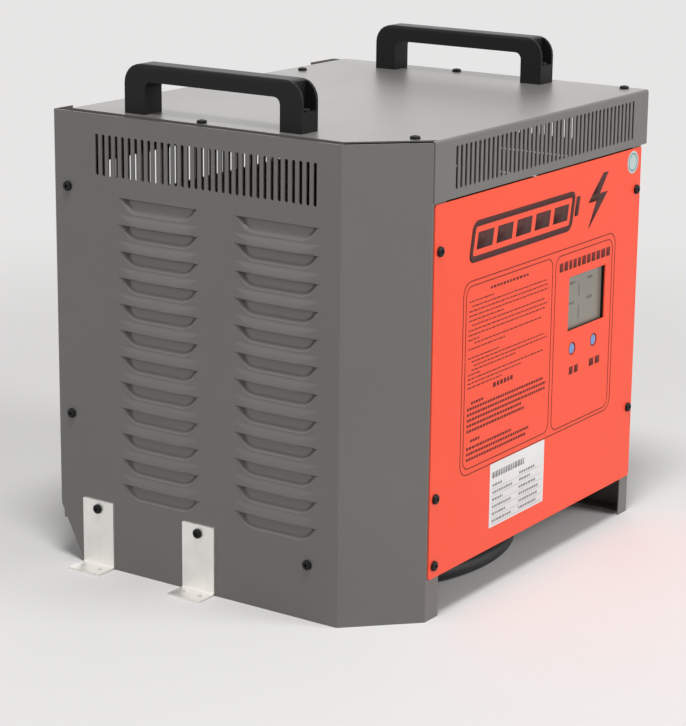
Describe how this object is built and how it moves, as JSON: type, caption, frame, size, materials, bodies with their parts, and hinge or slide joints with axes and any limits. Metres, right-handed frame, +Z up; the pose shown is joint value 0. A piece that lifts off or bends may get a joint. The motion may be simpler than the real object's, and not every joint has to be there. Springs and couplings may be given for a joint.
{
  "type": "forklift battery charger",
  "caption": "Floor-standing sheet steel battery charger with louvered sides, a vented top cover, carrying handles, a display panel with push buttons and a charging lead.",
  "frame": {"origin": "middle of the footprint, on the floor", "axes": "+Z up, the operating panel faces -Y, +X to the right seen from the front"},
  "size_m": [0.5726, 0.6262, 0.5765],
  "materials": {
    "grey_paint": "semi-gloss powder coat",
    "orange_panel": "satin printed film",
    "zinc": "zinc plated",
    "black_plastic": "moulded",
    "black_screws": "black oxide",
    "lcd": "display glass",
    "circuit_board": "solder mask",
    "brass_studs": "plain",
    "blue_button": "moulded",
    "core_steel": "varnished laminations",
    "coil_varnish": "varnished winding",
    "heat_sink": "extruded",
    "pale_plastic": "moulded",
    "red_lead": "insulation",
    "cable_rubber": "rubber sheath",
    "red_plastic": "moulded",
    "contacts": "silver plated"
  },
  "bodies": {
    "cabinet": {"base_plate": "zinc", "left_side_panel": "grey_paint", "right_side_panel": "grey_paint", "rear_panel": "grey_paint", "top_cover": "grey_paint", "front_panel": "orange_panel", "left_handle": "black_plastic", "right_handle": "black_plastic", "handle_screws": "black_screws", "top_cover_screws": "black_screws", "side_panel_screws": "black_screws", "front_panel_screws": "black_screws", "bracket_screws": "black_screws", "rear_floor_bracket": "zinc", "middle_floor_bracket": "zinc", "lcd_frame": "black_plastic", "lcd_glass": "lcd", "display_board": "circuit_board", "display_spacers": "brass_studs", "button_switches": "black_plastic", "transformer_core": "core_steel", "transformer_coils": "coil_varnish", "core_clamps": "zinc", "clamp_bolts": "zinc", "choke_core": "core_steel", "choke_coil": "coil_varnish", "heat_sink": "heat_sink", "rectifier_modules": "black_plastic", "contactor": "pale_plastic", "dc_fuse": "pale_plastic", "terminal_block": "black_plastic", "control_board": "circuit_board", "board_spacers": "brass_studs", "positive_lead": "red_lead", "negative_lead": "cable_rubber", "dc_gland": "black_plastic", "mains_gland": "black_plastic", "charging_cable": "cable_rubber", "cable_coil": "cable_rubber", "cable_tail": "cable_rubber", "battery_connector": "red_plastic", "connector_contacts": "contacts"},
    "left_key": {"left_button": "blue_button"},
    "right_key": {"right_button": "blue_button"}
  },
  "joints": [
    {"name": "left_button_press", "type": "slide", "parent": "cabinet", "child": "left_key", "axis": [0, 1, 0], "range_m": [0, 0.002], "stiffness_N_per_m": 300},
    {"name": "right_button_press", "type": "slide", "parent": "cabinet", "child": "right_key", "axis": [0, 1, 0], "range_m": [0, 0.002], "stiffness_N_per_m": 300}
  ]
}
